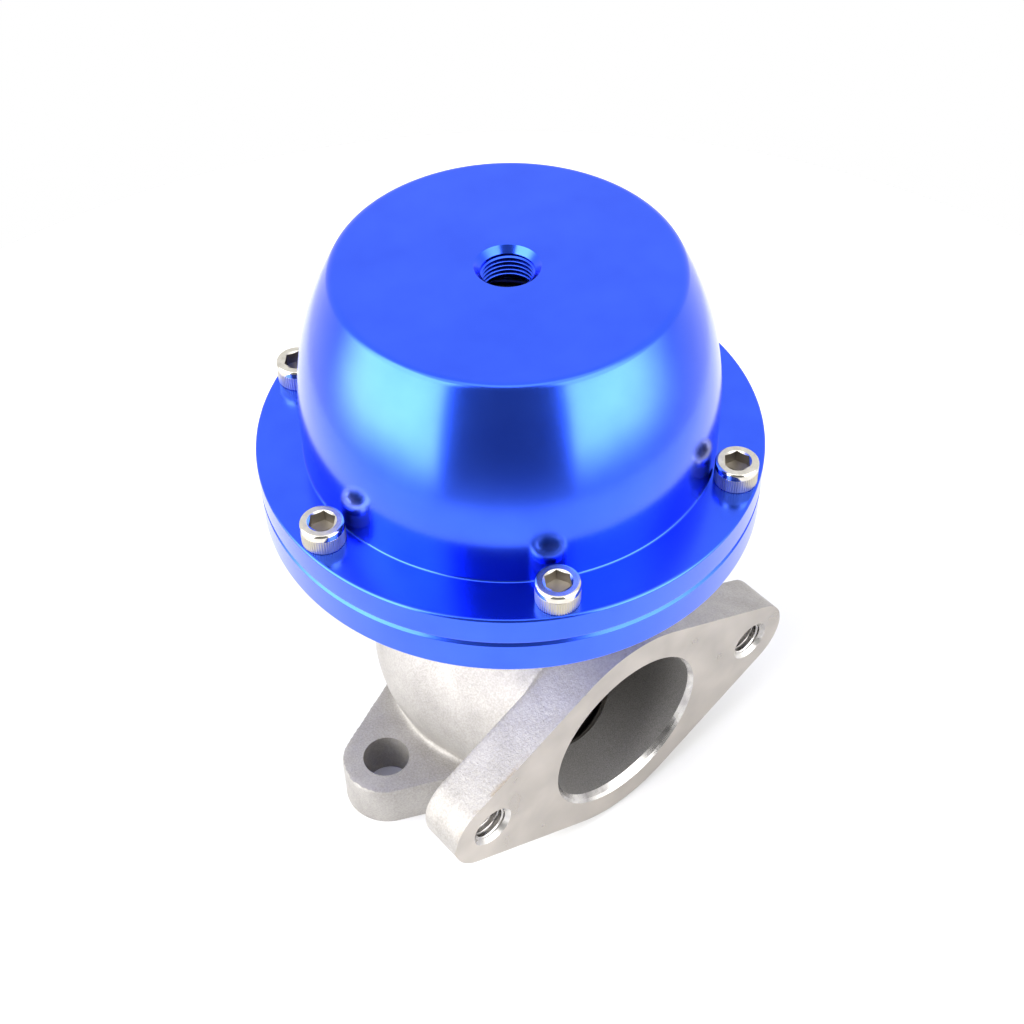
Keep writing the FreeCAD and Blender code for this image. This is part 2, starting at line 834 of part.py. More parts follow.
for number, place in enumerate(ring_places(cap_screw_count, cap_screw_circle_radius, actuator_turn), 1):
    pieces["cap_screw_%d" % number] = make_cap_screw(*place)

for name, shape in pieces.items():
    shape.exportStep("parts/%s.step" % name)
    print(name, len(shape.Solids), shape.isValid(), round(shape.Volume / 1000, 2), "cm3")
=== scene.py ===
import bpy
import bmesh
import math
from mathutils import Matrix, Vector, noise


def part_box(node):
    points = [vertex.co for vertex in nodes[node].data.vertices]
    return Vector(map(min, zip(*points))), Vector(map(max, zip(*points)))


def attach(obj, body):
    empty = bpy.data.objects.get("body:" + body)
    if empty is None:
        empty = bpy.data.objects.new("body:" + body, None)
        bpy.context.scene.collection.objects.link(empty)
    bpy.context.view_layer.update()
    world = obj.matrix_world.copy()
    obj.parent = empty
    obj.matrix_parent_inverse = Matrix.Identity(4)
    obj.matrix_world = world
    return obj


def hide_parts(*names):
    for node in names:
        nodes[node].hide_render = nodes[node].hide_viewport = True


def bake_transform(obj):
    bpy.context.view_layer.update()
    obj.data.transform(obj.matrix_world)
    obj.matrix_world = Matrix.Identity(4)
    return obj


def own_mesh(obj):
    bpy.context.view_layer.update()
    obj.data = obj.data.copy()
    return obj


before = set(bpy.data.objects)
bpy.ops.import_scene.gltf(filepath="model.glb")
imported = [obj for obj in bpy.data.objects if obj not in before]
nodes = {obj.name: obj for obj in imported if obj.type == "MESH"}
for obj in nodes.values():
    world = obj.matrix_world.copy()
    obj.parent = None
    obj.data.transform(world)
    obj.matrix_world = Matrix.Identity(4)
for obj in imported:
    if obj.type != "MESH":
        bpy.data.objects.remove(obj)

scene = bpy.context.scene
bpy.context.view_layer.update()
mm = 0.001


def lowest(node):
    return Vector(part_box(node)[0]) / mm


def highest(node):
    return Vector(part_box(node)[1]) / mm


# Heights and radii that several pieces share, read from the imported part, in millimetres
seam = lowest("actuator_cap").z
capTop = highest("actuator_cap").z
baseBottom = lowest("actuator_base").z
neckFace = highest("valve_body").z
springFoot = lowest("outer_spring").z
capRoof = highest("outer_spring").z
rimRadius = highest("actuator_cap").y
bulbRadius = highest("valve_body").y
outletReach = -lowest("valve_body").y
capFlangeTop = seam + 6.5
print("frame loaded,", len(nodes), "nodes")


# Small helpers for outlines and meshes

def arcPoints(centre, radius, start, end, steps):
    points = []
    for step in range(steps + 1):
        angle = math.radians(start + (end - start) * step / steps)
        points.append((centre[0] + radius * math.cos(angle), centre[1] + radius * math.sin(angle)))
    return points


def rounded(corners, steps=5):
    # A closed outline whose corners (r, z, round) are rounded where a third value is given
    outline = []
    for index, corner in enumerate(corners):
        here = Vector(corner[:2])
        if len(corner) < 3:
            outline.append(tuple(here))
            continue
        before = (Vector(corners[index - 1][:2]) - here).normalized()
        after = (Vector(corners[(index + 1) % len(corners)][:2]) - here).normalized()
        half = before.angle(after) / 2
        centre = here + (before + after).normalized() * corner[2] / math.sin(half)
        first = here + before * corner[2] / math.tan(half) - centre
        last = here + after * corner[2] / math.tan(half) - centre
        for step in range(steps + 1):
            spoke = first.normalized().slerp(last.normalized(), step / steps)
            outline.append(tuple(centre + spoke * corner[2]))
    return outline


def heldFlat(outline):
    # Two extra points just inside each long straight run keep its shading flat
    grip = 0.04
    longRun = 1.0
    result = []
    for index, point in enumerate(outline):
        result.append(point)
        here = Vector(point)
        step = Vector(outline[(index + 1) % len(outline)]) - here
        if step.length > longRun:
            result.append(tuple(here + step.normalized() * grip))
            result.append(tuple(here + step - step.normalized() * grip))
    return result


def addObject(name, mesh):
    piece = bpy.data.objects.new(name, mesh)
    scene.collection.objects.link(piece)
    return piece


def meshFrom(name, shape, place=None, material=None):
    bmesh.ops.remove_doubles(shape, verts=shape.verts, dist=1e-7)
    bmesh.ops.recalc_face_normals(shape, faces=shape.faces)
    if place is not None:
        shape.transform(place)
    shape.transform(Matrix.Scale(mm, 4))
    mesh = bpy.data.meshes.new(name)
    shape.to_mesh(mesh)
    shape.free()
    if material:
        mesh.materials.append(material)
    return addObject(name, mesh)


def lathe(name, outline, segments=256, place=None, material=None):
    # Turns a closed outline of (r, z) points about Z; points on the axis stay single
    shape = bmesh.new()
    rings = []
    for radius, height in outline:
        if radius < 1e-6:
            rings.append([shape.verts.new((0, 0, height))] * segments)
        else:
            angles = [2 * math.pi * index / segments for index in range(segments)]
            spots = [(radius * math.cos(angle), radius * math.sin(angle), height) for angle in angles]
            rings.append([shape.verts.new(spot) for spot in spots])
    for index, ring in enumerate(rings):
        other = rings[(index + 1) % len(rings)]
        for side in range(segments):
            ahead = (side + 1) % segments
            corners = []
            for vert in (ring[side], ring[ahead], other[ahead], other[side]):
                if vert not in corners:
                    corners.append(vert)
            if len(corners) > 2:
                shape.faces.new(corners)
    return meshFrom(name, shape, place, material)


def prism(name, outline, low, high, place=None, material=None):
    shape = bmesh.new()
    bottom = [shape.verts.new((x, y, low)) for x, y in outline]
    top = [shape.verts.new((x, y, high)) for x, y in outline]
    shape.faces.new(bottom)
    shape.faces.new(top)
    for index in range(len(outline)):
        ahead = (index + 1) % len(outline)
        shape.faces.new((bottom[index], bottom[ahead], top[ahead], top[index]))
    return meshFrom(name, shape, place, material)


def rod(name, radius, low, high, x=0.0, y=0.0, place=None, material=None, segments=96):
    at = Matrix.Translation((x, y, 0))
    if place is not None:
        at = place @ at
    return lathe(name, [(0, low), (radius, low), (radius, high), (0, high)], segments, at, material)


def bake(piece):
    # Applies the piece's modifiers and leaves a plain mesh
    graph = bpy.context.evaluated_depsgraph_get()
    mesh = bpy.data.meshes.new_from_object(piece.evaluated_get(graph))
    piece.modifiers.clear()
    piece.data = mesh
    return piece


def combine(target, tools, operation):
    for tool in tools:
        step = target.modifiers.new("step", "BOOLEAN")
        step.operation = operation
        step.object = tool
        step.solver = "MANIFOLD"
        step.material_mode = "TRANSFER"
    bake(target)
    for tool in tools:
        bpy.data.objects.remove(tool)
    return target


def shade(piece, degrees):
    mesh = piece.data
    mesh.shade_smooth()
    mesh.set_sharp_from_angle(angle=math.radians(degrees))
    return piece


def ringPlaces(count, radius, turn):
    for index in range(count):
        angle = math.radians(turn + 360 * index / count)
        yield radius * math.cos(angle), radius * math.sin(angle)


def holeRing(count, circle, turn, radius, low, high, material):
    places = ringPlaces(count, circle, turn)
    return [rod("hole", radius, low, high, x, y, None, material, 48) for x, y in places]


def sideways(height, degrees):
    # Lays local Z level at a height: 90 points it out of the front, -90 out of the back
    return Matrix.Translation((0, 0, height)) @ Matrix.Rotation(math.radians(degrees), 4, "X")


# Node building, for materials, geometry and the world alike

class Nodes:
    # A value fed to a socket is a plain one or the output of another node

    def __init__(self, tree):
        self.tree = tree

    def feed(self, socket, value):
        if isinstance(value, bpy.types.NodeSocket):
            self.tree.links.new(value, socket)
        else:
            socket.default_value = value

    def add(self, kind, values=None, **settings):
        node = self.tree.nodes.new(kind)
        for key, value in settings.items():
            setattr(node, key, value)
        for label, value in (values or {}).items():
            self.feed(node.inputs[label], value)
        return node

    def math(self, operation, first, second=0.0):
        return self.add("ShaderNodeMath", {0: first, 1: second}, operation=operation).outputs[0]

    def vector(self, x=0.0, y=0.0, z=0.0):
        return self.add("ShaderNodeCombineXYZ", {0: x, 1: y, 2: z}).outputs[0]

    def split(self, vector):
        return self.add("ShaderNodeSeparateXYZ", {0: vector}).outputs

    def mixed(self, factor, first, second):
        # A number between two others
        return self.add("ShaderNodeMix", {0: factor, 2: first, 3: second}, data_type="FLOAT").outputs[0]

    def ramp(self, value, low, high, toLow=0.0, toHigh=1.0, **settings):
        return self.add("ShaderNodeMapRange", {
            "Value": value, "From Min": low, "From Max": high, "To Min": toLow, "To Max": toHigh,
        }, **settings).outputs["Result"]


class Recipe(Nodes):
    # One node material, put together from left to right

    def __init__(self, name):
        self.material = bpy.data.materials.new(name)
        self.material.use_nodes = True
        super().__init__(self.material.node_tree)
        self.shader = self.tree.nodes["Principled BSDF"]
        self.place = self.add("ShaderNodeTexCoord").outputs["Object"]
        self.height = None

    def noise(self, grain, detail=3.0, roughness=0.5, distortion=0.0):
        # grain is the size of one blotch in millimetres
        return self.add("ShaderNodeTexNoise", {
            "Vector": self.place, "Scale": 1 / (grain * mm), "Detail": detail,
            "Roughness": roughness, "Distortion": distortion,
        }).outputs["Fac"]

    def rings(self, axis, centre, pitch, wander):
        # Concentric tool marks about an axis through a centre in millimetres
        ownPitch = 0.314  # distance between the texture's rings at scale 1
        moved = self.add("ShaderNodeMapping", {"Vector": self.place, "Location": -Vector(centre) * mm})
        return self.add("ShaderNodeTexWave", {
            "Vector": moved.outputs["Vector"], "Scale": ownPitch / (pitch * mm),
            "Distortion": wander, "Detail": 2.0, "Detail Scale": 1.5,
        }, wave_type="RINGS", rings_direction=axis).outputs["Fac"]

    def zone(self, axis, start, end):
        # Grows from 0 to 1 along an axis between two places in millimetres
        return self.ramp(self.split(self.place)[axis], start * mm, end * mm)

    def colour(self, factor, first, second):
        # first is a colour, or a socket when a stain goes over an earlier colour
        if isinstance(first, tuple):
            first = (*first, 1)
        mix = self.add("ShaderNodeMix", {0: factor, 6: first, 7: (*second, 1)}, data_type="RGBA")
        self.feed(self.shader.inputs["Base Color"], mix.outputs[2])
        return mix.outputs[2]

    def rough(self, factor, low, high):
        self.feed(self.shader.inputs["Roughness"], self.ramp(factor, 0.3, 0.7, low, high))

    def bump(self, value, depth):
        # depth in millimetres; bumps stack on one another
        node = self.add("ShaderNodeBump", {"Distance": depth * mm, "Height": value})
        if self.height is not None:
            self.feed(node.inputs["Normal"], self.height)
        self.height = node.outputs["Normal"]
        self.feed(self.shader.inputs["Normal"], self.height)

    def set(self, **values):
        for name, value in values.items():
            self.shader.inputs[name.replace("_", " ")].default_value = value


def cloudySkin(name, look, detail=3.0, roughness=0.6, **surface):
    # Two near colours in soft clouds over a fine grain: anodising, rubber, sheet and polymer
    recipe = Recipe(name)
    cloud = recipe.noise(look["cloud"], detail)
    grain = recipe.noise(look["grain"], detail, roughness)
    recipe.colour(recipe.ramp(cloud, 0.3, 0.7), look["shadow"], look["bright"])
    recipe.rough(grain, *look["gloss"])
    recipe.bump(grain, look["grainDepth"])
    recipe.set(**surface)
    return recipe.material


def castSteel(name, look):
    recipe = Recipe(name)
    patch = recipe.noise(look["patch"], detail=4.0, roughness=0.6, distortion=0.4)
    pebble = recipe.noise(look["pebble"], detail=3.0, roughness=0.6)
    grain = recipe.noise(look["grain"], detail=2.0)
    cells = recipe.add("ShaderNodeTexVoronoi", {
        "Vector": recipe.place, "Scale": 1 / (look["pebble"] * 2.2 * mm)})
    pits = recipe.ramp(cells.outputs["Distance"], 0.0, 0.22)
    speckle = recipe.ramp(recipe.noise(look["pebble"] * 0.6, detail=3.0, roughness=0.6), 0.38, 0.62)
    tone = recipe.mixed(look["speckle"], recipe.ramp(patch, 0.36, 0.66), speckle)
    skin = recipe.colour(tone, look["shadow"], look["bright"])
    if "stain" in look:
        # Burnt oil along the front edge of the outlet flange, towards its left ear
        edge = recipe.zone("Y", *look["stainDeep"])
        drops = recipe.ramp(recipe.noise(4.0, detail=3.0), 0.47, 0.60, 0, 0.75)
        leftEar = recipe.zone("X", *look["stainAlong"])
        recipe.colour(recipe.mixed(edge, 0.0, recipe.mixed(leftEar, 0.0, drops)), skin, look["stain"])
    recipe.rough(grain, *look["gloss"])
    recipe.bump(recipe.noise(look["wave"], detail=1.0), look["waveDepth"])
    recipe.bump(pebble, look["pebbleDepth"])
    recipe.bump(pits, look["pitDepth"])
    recipe.bump(grain, look["grainDepth"])
    recipe.set(Metallic=look["metal"])
    return recipe.material


def machinedSteel(name, look):
    recipe = Recipe(name)
    smear = recipe.noise(look["smear"], detail=2.0, roughness=0.5, distortion=0.25)
    recipe.colour(recipe.ramp(smear, 0.32, 0.68), look["shadow"], look["bright"])
    recipe.rough(smear, *look["gloss"])
    rings = recipe.rings(look["axis"], look["centre"], look["pitch"], look["wander"])
    recipe.bump(rings, look["ringDepth"])
    recipe.bump(recipe.noise(look["grain"], detail=2.0), look["grainDepth"])
    recipe.set(Metallic=1.0)
    return recipe.material


def screwNickelPlate(look):
    # Polished shoulder, brushed top and matt knurl, told apart by the height on the head
    recipe = Recipe("screwNickel")
    smear = recipe.noise(look["smear"], detail=3.0)
    plate = recipe.colour(recipe.ramp(smear, 0.32, 0.68), look["shadow"], look["bright"])
    knurl = recipe.zone("Z", look["knurlTop"] + 0.1, look["knurlTop"] - 0.1)
    recipe.colour(knurl, plate, look["matt"])
    top = recipe.zone("Z", look["headTop"] - 0.08, look["headTop"] - 0.02)
    gloss = recipe.mixed(knurl, recipe.mixed(top, look["polish"], look["topRough"]), look["knurlRough"])
    recipe.feed(recipe.shader.inputs["Roughness"], gloss)
    recipe.bump(recipe.noise(look["grain"], detail=2.0), look["grainDepth"])
    recipe.set(Metallic=1.0)
    return recipe.material


outletHeight = 27.35
blueLook = {
    "shadow": (0.020, 0.096, 0.93),
    "bright": (0.027, 0.112, 0.97),
    "cloud": 9.0,
    "grain": 0.16,
    "grainDepth": 0.0012,
    "gloss": (0.18, 0.25),
}
steelLook = {
    "shadow": (0.295, 0.280, 0.262),
    "bright": (0.435, 0.414, 0.391),
    "speckle": 0.5,
    "patch": 9.0,
    "pebble": 0.75,
    "wave": 3.4,
    "grain": 0.26,
    "gloss": (0.5, 0.64),
    "metal": 0.55,
    "waveDepth": 0.02,
    "pebbleDepth": 0.09,
    "pitDepth": 0.012,
    "grainDepth": 0.04,
}
skinLook = dict(steelLook, stain=(0.25, 0.20, 0.14), stainDeep=(-37.0, -37.9), stainAlong=(-18.0, -32.0))
# The bore's copy of the cast steel is darker, with painted shade for the inside of the bore and chamber, over
# their own rougher, finer grain
shadedBoreLook = dict(steelLook, shadow=(0.165, 0.158, 0.151), bright=(0.31, 0.298, 0.286),
                gloss=(0.55, 0.68), metal=0.3, speckle=0.85, patch=20.0, pebble=0.35)
faceLook = {
    "shadow": (0.390, 0.359, 0.325),
    "bright": (0.480, 0.442, 0.401),
    "smear": 9.0,
    "grain": 0.22,
    "gloss": (0.26, 0.40),
    "axis": "Y",
    "centre": (0, -outletReach, outletHeight),
    "pitch": 0.32,
    "wander": 0.3,
    "ringDepth": 0.0012,
    "grainDepth": 0.0018,
}
footLook = dict(faceLook, axis="Z", centre=(0, 0, 0))
# The mouth ring's wide spread from shadow to bright, in blotches about 5 mm across, paints light and dark
# reflection streaks round it; threadLook keeps the same spread
mouthLook = dict(faceLook, smear=5.0, pitch=0.16, ringDepth=0.002, wander=0.2, gloss=(0.2, 0.3),
                 shadow=(0.33, 0.315, 0.31), bright=(0.68, 0.66, 0.63))
threadLook = dict(mouthLook, gloss=(0.22, 0.34), bright=(0.66, 0.64, 0.61))
socketLook = dict(mouthLook, axis="Z", centre=(0, 0, 0), ringDepth=0.0, grainDepth=0.004,
                  shadow=(0.22, 0.197, 0.165), bright=(0.40, 0.365, 0.315), gloss=(0.36, 0.48))
nickelLook = {
    "shadow": (0.60, 0.57, 0.51),
    "bright": (0.72, 0.69, 0.62),
    "matt": (0.47, 0.435, 0.35),
    "smear": 1.6,
    "grain": 0.14,
    "grainDepth": 0.0016,
    "knurlTop": capFlangeTop + 3.2,
    "headTop": capFlangeTop + 4.9,
    "polish": 0.15,
    "topRough": 0.26,
    "knurlRough": 0.42,
}

blue = cloudySkin("blueAnodised", blueLook, 2.0, 0.5, Metallic=1.0,
                  Coat_Weight=0.45, Coat_Roughness=0.16, Coat_IOR=1.5)
castSkin = castSteel("castSkin", skinLook)
castBore = castSteel("castBore", shadedBoreLook)
millFace = machinedSteel("millFace", faceLook)
millFoot = machinedSteel("millFoot", footLook)
millMouth = machinedSteel("millMouth", mouthLook)
tappedSteel = machinedSteel("tappedSteel", threadLook)
screwNickel = screwNickelPlate(nickelLook)
socketShade = machinedSteel("socketShade", socketLook)
print("main materials made")


# Valve body: cast oversize, softened, then machined

valveBody = {
    "bulbWall": 4.6,
    "neckRadius": 18.0,
    "collarRadius": 29.0,
    "collarThickness": 8.0,
    "pipeEndRadius": 25.7,
    "boreRadius": 19.0,
    "outletFlange": (26.5, 9.7, 75.5, 11.0),  # middle radius, ear radius, spacing, thickness
    "inletFlange": (25.5, 9.85, 75.5, 11.3),
    "inletHole": 5.2,
    "outletHole": 4.0,
    "guideRadius": 7.0,
    "guideBossRadius": 11.0,
    "guideBossDrop": 9.0,
    "pocketRadius": 22.0,
    "mouthSteps": ((-0.5, 1.7), (0.3, 0.6), (0.9, 0.0)),  # wider than the bore, below the face
    "mouthDrop": 0.5,
    "pocketChamfer": 1.2,
    "holeLeadIn": 0.9,
    "baseScrewCircle": 23.2,
    "baseScrewHole": 2.5,
    "castFillet": 2.2,
    "rootFillet": 1.0,
    "pipeFillet": 0.6,
    "allowance": 1.7,
    "grid": 0.66,
    "softening": 3,
    "unevenness": 0.03,
    "unevenGrain": 6.0,
}


def twoBoltOutline(middleRadius, earRadius, spacing):
    reach = spacing / 2
    lean = math.degrees(math.acos((middleRadius - earRadius) / reach))
    outline = arcPoints((0, 0), middleRadius, lean, 180 - lean, 48)
    outline += arcPoints((-reach, 0), earRadius, 180 - lean, 180 + lean, 40)
    outline += arcPoints((0, 0), middleRadius, 180 + lean, 360 - lean, 48)
    outline += arcPoints((reach, 0), earRadius, -lean, lean, 40)
    return outline


def neckStub(radius, end, fillet, place):
    # A round stub from the bulb's centre with a fillet at the bulb and one under the collar
    reach = bulbRadius + fillet
    centreR = radius + fillet
    centreZ = math.sqrt(reach ** 2 - centreR ** 2)
    touchAngle = math.degrees(math.atan2(-centreZ, -centreR))
    innerR = centreR * bulbRadius / reach - 1
    outline = [(0, 0), (innerR, 0), (innerR, centreZ * bulbRadius / reach)]
    outline += arcPoints((centreR, centreZ), fillet, touchAngle, -180, 10)
    outline += arcPoints((centreR, end - fillet), fillet, 180, 90, 10)
    outline.append((0, end))
    return lathe("neck", outline, 192, place)


def taperedPipe(endRadius, end, fillet, place):
    # A cone that leaves the bulb without a step and meets the back of the outlet flange
    reach = math.hypot(endRadius, end)
    touch = math.atan2(end, endRadius) - math.acos(bulbRadius / reach)
    start = (bulbRadius * math.cos(touch), bulbRadius * math.sin(touch))
    slope = math.tan(touch)
    centreZ = end - fillet
    centreR = endRadius + fillet * slope + fillet / math.cos(touch)
    outline = [(0, start[1] - 1), (start[0] - 1, start[1] - 1), start]
    outline += arcPoints((centreR, centreZ), fillet, 180 + math.degrees(touch), 90, 8)
    outline.append((0, end))
    return lathe("pipe", outline, 192, place)


def inletRootFlare(size):
    # The cast fillet between the bulb and the flat top of the inlet flange
    fillet = size["rootFillet"]
    thickness = size["inletFlange"][3]
    centreZ = thickness + fillet
    drop = centreZ - outletHeight
    reach = bulbRadius + fillet
    centreR = math.sqrt(reach ** 2 - drop ** 2)
    touchR = centreR * bulbRadius / reach
    touchZ = outletHeight + drop * bulbRadius / reach
    end = math.degrees(math.atan2(touchZ - centreZ, touchR - centreR))
    outline = [(touchR - 2, thickness - 1), (centreR, thickness - 1)]
    outline += arcPoints((centreR, centreZ), fillet, -90, end if end < 0 else end - 360, 10)
    outline.append((touchR - 2, touchZ))
    flare = lathe("flare", outline, 192)
    middle, ear, spacing, _ = size["inletFlange"]
    keep = prism("keep", twoBoltOutline(middle - 1, ear - 1, spacing), 0, touchZ + 1)
    return combine(flare, [keep], "INTERSECT")


def crispCuts(mesh):
    # Machined faces keep sharp borders, to the cast skin and to one another
    shape = bmesh.new()
    shape.from_mesh(mesh)
    skin = mesh.materials.find("castSkin")
    for edge in shape.edges:
        if len(edge.link_faces) == 2:
            first, second = [face.material_index for face in edge.link_faces]
            bent = first != skin and edge.calc_face_angle() > math.radians(8)
            if bent or first != second:
                edge.smooth = False
    shape.to_mesh(mesh)
    shape.free()


def roundBore(mesh, radius, height):
    # The bore's long cut faces are shaded as the true cylinder that they stand for
    normals = [corner.vector.copy() for corner in mesh.corner_normals]
    bore = mesh.materials.find("castBore")
    for face in mesh.polygons:
        if face.material_index != bore or abs(face.normal.y) > 0.01:
            continue
        for loop in face.loop_indices:
            place = mesh.vertices[mesh.loops[loop].vertex_index].co
            spoke = Vector((place.x, 0, place.z - height))
            if abs(spoke.length - radius) < 0.02 * mm:
                normals[loop] = -spoke.normalized()
    mesh.normals_split_custom_set(normals)


def castBlank(size, up, outward):
    # The raw casting, oversize where it will be machined, softened and slightly uneven
    spare = size["allowance"]
    collarBottom = neckFace - size["collarThickness"]
    *outlet, outletThickness = size["outletFlange"]
    *inlet, inletThickness = size["inletFlange"]
    plateBack = outletReach - outletThickness
    ball = lathe("castingBall", arcPoints((0, 0), bulbRadius, -90, 90, 96), 192, up)
    blank = combine(ball, [
        neckStub(size["neckRadius"], collarBottom - outletHeight, size["castFillet"], up),
        rod("collar", size["collarRadius"], collarBottom, neckFace + spare, segments=192),
        taperedPipe(size["pipeEndRadius"], plateBack, size["pipeFillet"], outward),
        prism("outletPlate", twoBoltOutline(*outlet), plateBack, outletReach + spare, outward),
        prism("foot", twoBoltOutline(*inlet), -spare, inletThickness),
        inletRootFlare(size),
    ], "UNION")
    blank.name = "valve_casting"

    remesh = blank.modifiers.new("cast", "REMESH")
    remesh.mode = "VOXEL"
    remesh.voxel_size = size["grid"] * mm
    soften = blank.modifiers.new("soften", "SMOOTH")
    soften.factor = 0.5
    soften.iterations = size["softening"]
    bake(blank)
    normals = [vert.normal.copy() for vert in blank.data.vertices]
    for vert, normal in zip(blank.data.vertices, normals):
        swell = noise.noise(vert.co / (size["unevenGrain"] * mm)) * size["unevenness"]
        vert.co += normal * swell * mm
    blank.data.materials.clear()
    blank.data.materials.append(castSkin)
    return blank


def gasChamber(size, cavity, up):
    # A round core, with the guide's boss left standing in its roof
    foot = size["guideBossRadius"]
    bossBottom = outletHeight + cavity - size["guideBossDrop"]
    boss = lathe("boss", [
        (0, bossBottom), (foot, bossBottom), (foot + size["castFillet"], neckFace), (0, neckFace),
    ], 96)
    core = lathe("core", arcPoints((0, 0), cavity, -90, 90, 72), 160, up, castBore)
    return combine(core, [boss], "DIFFERENCE")


def pocketLeadIn(size, outward):
    # The seat pocket's upper edge: a chamfer, then straight up as far as the outlet bore needs
    step = size["pocketChamfer"]
    low = outletHeight - size["boreRadius"] - step
    pocket = size["pocketRadius"]
    lead = lathe("lead", [
        (0, low), (pocket, low), (pocket + step, low + step),
        (pocket + step, outletHeight), (0, outletHeight),
    ], 192, None, castSkin)
    near = rod("near", size["boreRadius"] + step, 0, outletReach - 8, 0, 0, outward, castSkin, 192)
    return combine(lead, [near], "INTERSECT")


def makeValveBody(size):
    up = Matrix.Translation((0, 0, outletHeight))
    outward = sideways(outletHeight, 90)
    cavity = bulbRadius - size["bulbWall"]
    bore = size["boreRadius"]
    outletSpacing, outletThickness = size["outletFlange"][2:]
    inletSpacing, inletThickness = size["inletFlange"][2:]
    casting = castBlank(size, up, outward)

    # Flat faces first, then the gas way from the chamber out, the seat pocket and the holes
    far = 60
    square = [(-far, -far), (far, -far), (far, far), (-far, far)]
    above = outletReach + 1
    boreStart = math.sqrt(cavity ** 2 - bore ** 2) - 1
    mouthSteps = [(bore + wide, outletReach - deep) for wide, deep in size["mouthSteps"]]
    mouth = [(0, mouthSteps[0][1]), *mouthSteps, (mouthSteps[-1][0], above), (0, above)]
    lowered = outward @ Matrix.Translation((0, -size["mouthDrop"], 0))
    cuts = [
        prism("face", square, outletReach, outletReach + 10, outward, millFace),
        prism("footFace", square, -10, 0, None, millFoot),
        prism("topFace", square, neckFace, neckFace + 10, None, millFoot),
        gasChamber(size, cavity, up),
        rod("bore", bore, boreStart, above, 0, 0, outward, castBore, 192),
        lathe("mouth", mouth, 192, lowered, millMouth),
        rod("pocket", size["pocketRadius"], -1, outletHeight, material=millFoot, segments=192),
        pocketLeadIn(size, outward),
        rod("guideHole", size["guideRadius"], outletHeight, neckFace + 1, material=millFoot),
    ]
    hole, leadIn = size["outletHole"], size["holeLeadIn"]
    deep = outletReach - outletThickness - 1
    tapped = [(0, deep), (hole, deep), (hole, outletReach - leadIn), (hole + leadIn, outletReach),
              (hole + leadIn, above), (0, above)]
    for side in (-1, 1):
        cuts.append(rod("inletHole", size["inletHole"], -1, inletThickness + 1,
                        x=side * inletSpacing / 2, material=castSkin))
        spot = outward @ Matrix.Translation((side * outletSpacing / 2, 0, 0))
        cuts.append(lathe("outletHole", tapped, 72, spot, tappedSteel))
    cuts += holeRing(4, size["baseScrewCircle"], 45, size["baseScrewHole"],
                     neckFace - size["collarThickness"], neckFace + 1, tappedSteel)
    combine(casting, cuts, "DIFFERENCE")
    shade(casting, 34)
    crispCuts(casting.data)
    roundBore(casting.data, bore * mm, outletHeight * mm)
    return casting


casting = makeValveBody(valveBody)
print("valve body cast and machined,", len(casting.data.polygons), "faces")

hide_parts("valve_body")
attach(casting, "housing")


# Actuator cap and base

capSize = {
    "edgeRound": 0.5,
    "footRound": 0.35,
    "domeWall": 41.5,
    "domeSkirt": 8.6,
    "domeRadius": 64.0,
    "topRound": 1.9,
    "wall": 3.0,
    "portRadius": 5.1,
    "portChamfer": 1.2,
    "seatRidge": (18.25, 24.0, 1.8),  # between the springs: inner radius, outer radius, drop
    "screwCircle": 46.35,
    "screwHole": 2.75,
    "turn": 0.65,
}


def makeCap(size):
    wall = size["domeWall"]
    radius = size["domeRadius"]
    skirtTop = capFlangeTop + size["domeSkirt"]
    centre = (wall - radius, skirtTop)
    topRound = size["topRound"]
    reach = radius - topRound
    lean = math.asin((capTop - topRound - skirtTop) / reach)
    roundR = centre[0] + reach * math.cos(lean)
    port = size["portRadius"]
    mouth = size["portChamfer"]
    edge = size["edgeRound"]

    outline = rounded([
        (wall - size["wall"], seam),
        (rimRadius, seam, edge),
        (rimRadius, capFlangeTop, edge),
        (wall, capFlangeTop, size["footRound"]),
        (wall, capFlangeTop + 2),
    ])[:-1]
    outline += arcPoints(centre, radius, 0, math.degrees(lean), 40)
    outline += arcPoints((roundR, capTop - topRound), topRound, math.degrees(lean), 90, 12)[1:]
    outline += rounded([
        (roundR - 1, capTop),
        (port + mouth, capTop, 0.12),
        (port, capTop - mouth, 0.08),
        (port, capRoof, 0.2),
        (size["seatRidge"][0], capRoof),
    ], 3)[1:-1]

    # The inside: the ridge between the springs, then the dome's curve one wall further in
    near, far, drop = size["seatRidge"]
    outline += [(near, capRoof), (near, capRoof - drop), (far, capRoof - drop), (far, capRoof)]
    inner = radius - size["wall"]
    bend = size["wall"] / 2
    innerLean = math.asin((capRoof - bend - skirtTop) / (inner - bend))
    bendR = centre[0] + (inner - bend) * math.cos(innerLean)
    outline += arcPoints((bendR, capRoof - bend), bend, 90, math.degrees(innerLean), 6)
    outline += arcPoints(centre, inner, math.degrees(innerLean), 0, 24)[1:]
    cap = lathe("cap_shell", heldFlat(outline), 320, None, blue)
    combine(cap, holeRing(6, size["screwCircle"], size["turn"], size["screwHole"],
                          seam - 1, capFlangeTop + 1, blue), "DIFFERENCE")
    return shade(cap, 30)


cap = makeCap(capSize)
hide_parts("actuator_cap")
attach(cap, "housing")
print("cap turned,", len(cap.data.polygons), "faces")

baseSize = {
    "rimThickness": 7.5,
    "floor": 7.0,
    "footRadius": 30.0,
    "panRadius": 41.5,
    "panWall": 3.0,
    "chamberRadius": 38.5,
    "clampRadius": 43.3,
    "clampDepth": 1.2,
    "topChamfer": 0.8,
    "stemHole": 4.25,
    "sealRadius": 8.0,
    "sealDepth": 4.5,
    "portBelowSeam": 7.3,
    "portRadius": 5.1,
    "portBoss": 8.0,
    "portSpot": 0.8,
    "portDepth": 8.2,
    "portPassage": 1.5,
    "screwHead": 5.05,
    "screwHole": 2.75,
    "capScrewHole": 2.5,
}


